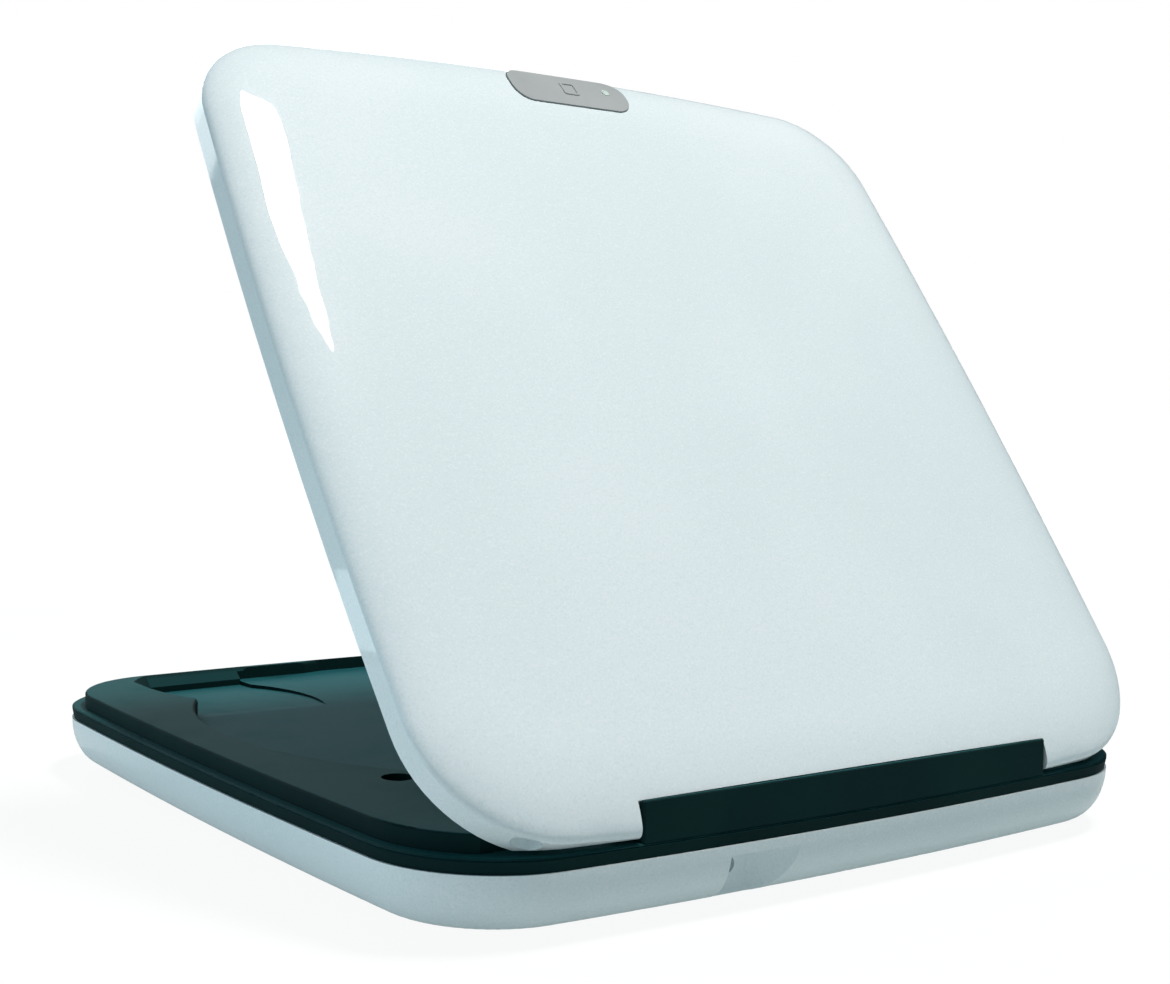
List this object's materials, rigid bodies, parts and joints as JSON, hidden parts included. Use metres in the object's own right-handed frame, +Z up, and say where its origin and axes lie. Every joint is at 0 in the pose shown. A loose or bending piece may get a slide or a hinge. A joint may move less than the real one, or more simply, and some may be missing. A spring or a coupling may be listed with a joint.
{
  "type": "portable dvd player",
  "caption": "Slim top-loading disc player: bowed square base with a disc well, finger scoop and rear socket pocket, and a full-size lid with a stop button on a rear hinge.",
  "frame": {"origin": "on the table, under the middle of the case outline", "axes": "+Z up; the hinge is at +Y (rear), the stop button and the lid's free edge at -Y when the lid is closed; +X is the user's right"},
  "size_m": [0.143, 0.1442, 0.1268],
  "materials": {
    "white_shell": "glossy pearl white",
    "deck_plastic": "fine satin, very dark blue-green grey",
    "liner_plastic": "satin",
    "button_plastic": "semi-gloss warm grey",
    "indicator": "clear",
    "rubber": "matt",
    "steel": "bright plated",
    "plated_steel": "zinc plated sheet",
    "board": "green solder mask",
    "chip": "matt black",
    "can_metal": "satin",
    "contact_brass": "bright",
    "film": "amber film",
    "hub_plastic": "satin black",
    "ball_steel": "polished",
    "sled_metal": "die-cast, satin",
    "lens_carrier": "satin black",
    "lens_glass": "coated, polished"
  },
  "bodies": {
    "case": {"lower_case": "white_shell", "rubber_feet": "rubber", "case_screws": "steel", "upper_deck": "deck_plastic", "hinge_housing": "deck_plastic", "hinge_pins": "steel", "hinge_washers": "steel", "hinge_screws": "steel", "data_jack": "chip", "jack_contacts": "contact_brass", "main_board": "board", "board_chips": "chip", "board_capacitors": "can_metal", "chassis": "plated_steel", "dampers": "rubber", "damper_screws": "steel", "guide_rods": "steel", "disc_motor": "plated_steel", "lead_motor": "plated_steel", "switch_body": "chip"},
    "lid": {"lid_shell": "white_shell", "lid_liner": "liner_plastic", "liner_screws": "steel", "lid_bumpers": "rubber", "button_film": "film", "button_dome": "contact_brass"},
    "stop_button": {"stop_button": "button_plastic", "indicator_lens": "indicator"},
    "switch_plunger": {"switch_plunger": "hub_plastic"},
    "spindle": {"rotor": "plated_steel", "turntable": "hub_plastic", "turntable_pad": "rubber", "clamp_balls": "ball_steel"},
    "sled": {"sled": "sled_metal", "sled_follower": "hub_plastic", "lens_holder": "lens_carrier", "objective_lens": "lens_glass"},
    "lead_screw": {"lead_screw": "steel"}
  },
  "joints": [
    {"name": "lid_hinge", "type": "hinge", "parent": "case", "child": "lid", "pos_m": [0, 0.06774, 0.014], "axis": [-1, 0, 0], "range_deg": [-53.3, 1.6]},
    {"name": "stop_press", "type": "slide", "parent": "lid", "child": "stop_button", "axis": [0, -0.8023, -0.5969], "range_m": [0, 0.00035], "stiffness_N_per_m": 300},
    {"name": "switch_press", "type": "slide", "parent": "case", "child": "switch_plunger", "axis": [0, 0, -1], "range_m": [0, 0.001], "stiffness_N_per_m": 150},
    {"name": "disc_spin", "type": "hinge", "parent": "case", "child": "spindle", "pos_m": [0, -0.0088, 0.013], "axis": [0, 0, 1], "continuous": true},
    {"name": "sled_travel", "type": "slide", "parent": "case", "child": "sled", "axis": [0, 1, 0], "range_m": [-0.0015, 0.034]},
    {"name": "lead_screw_turn", "type": "hinge", "parent": "case", "child": "lead_screw", "pos_m": [-0.0235, 0.03, 0.0087], "axis": [0, 1, 0], "range_deg": [-185, 4085]}
  ],
  "couplings": [
    {"joint": "lead_screw_turn", "follows": "sled_travel", "rad_per_m": 2094.4}
  ]
}
